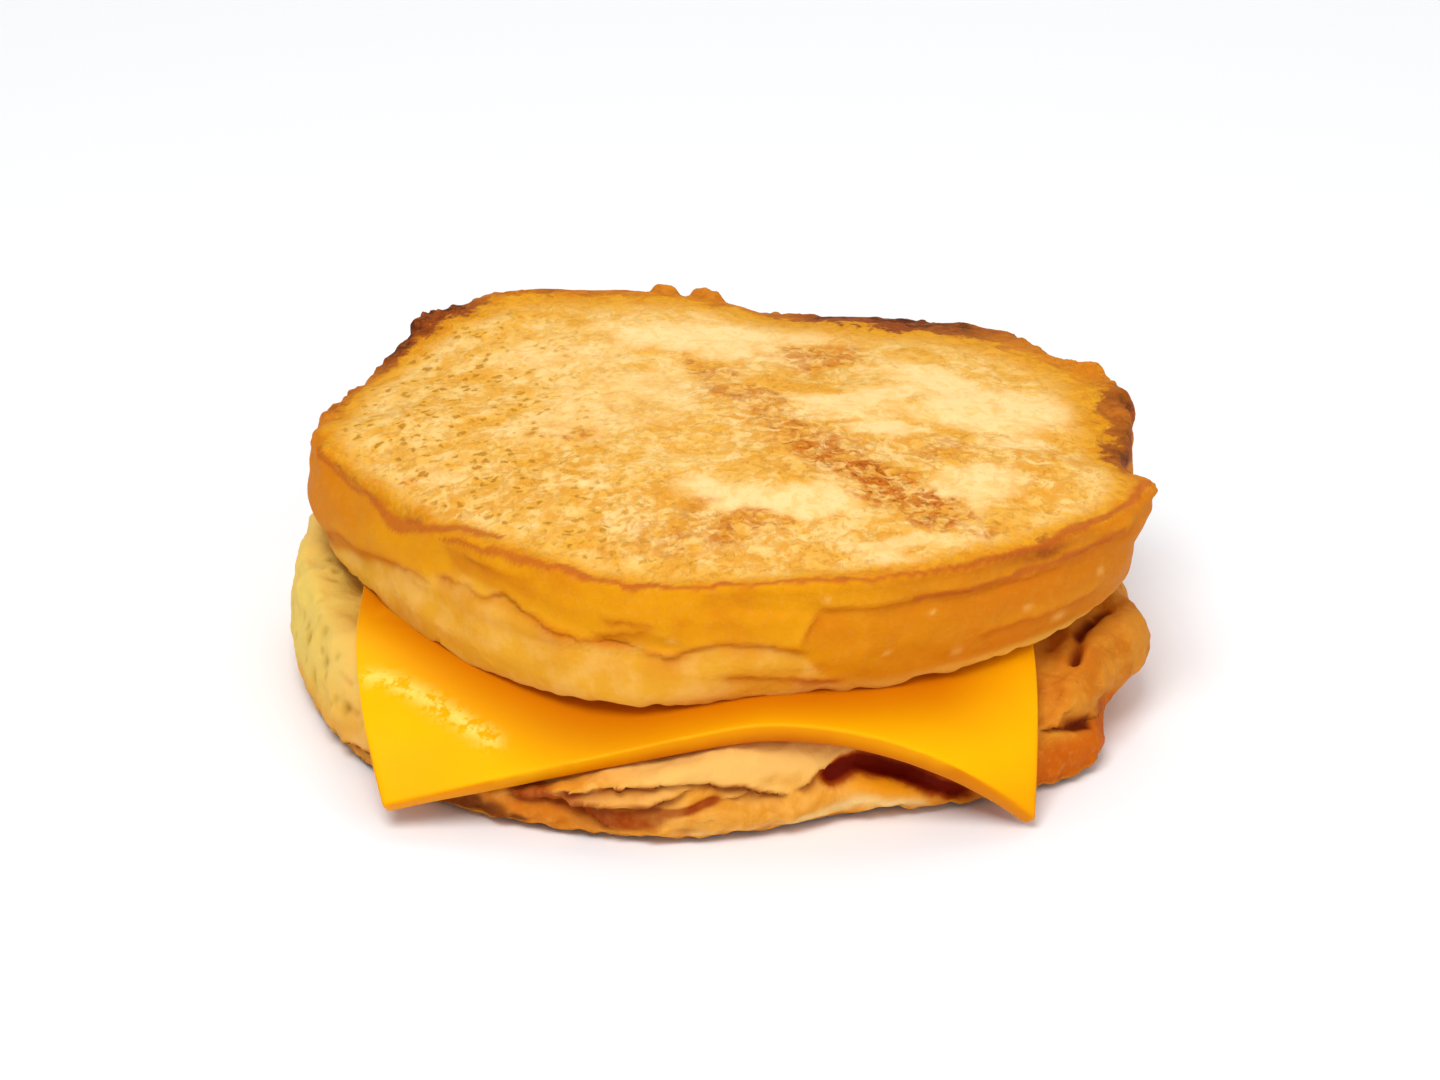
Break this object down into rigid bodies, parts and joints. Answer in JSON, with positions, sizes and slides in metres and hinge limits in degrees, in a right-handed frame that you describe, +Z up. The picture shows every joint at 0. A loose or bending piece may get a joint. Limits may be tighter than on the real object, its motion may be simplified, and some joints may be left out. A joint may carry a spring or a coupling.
{
  "type": "grilled cheese sandwich",
  "caption": "Toasted sandwich of pan-fried white bread with a slab of yellow cheese whose front corners droop to the table.",
  "frame": {"origin": "on the table, under the middle of the sandwich's bounding box", "axes": "+Z up through the layers, +X along the loaf's longer side to the right, -Y towards the front, where the cheese hangs out"},
  "size_m": [0.12, 0.1046, 0.0377],
  "materials": {
    "toasted_bread": "toasted bread: browned, mottled faces and a golden crust, dry and matt",
    "cheese": "processed cheese: smooth, bright yellow, softly shining"
  },
  "bodies": {
    "root": {"bread_top": "toasted_bread", "cheese": "cheese", "bread_bottom": "toasted_bread"}
  },
  "joints": []
}
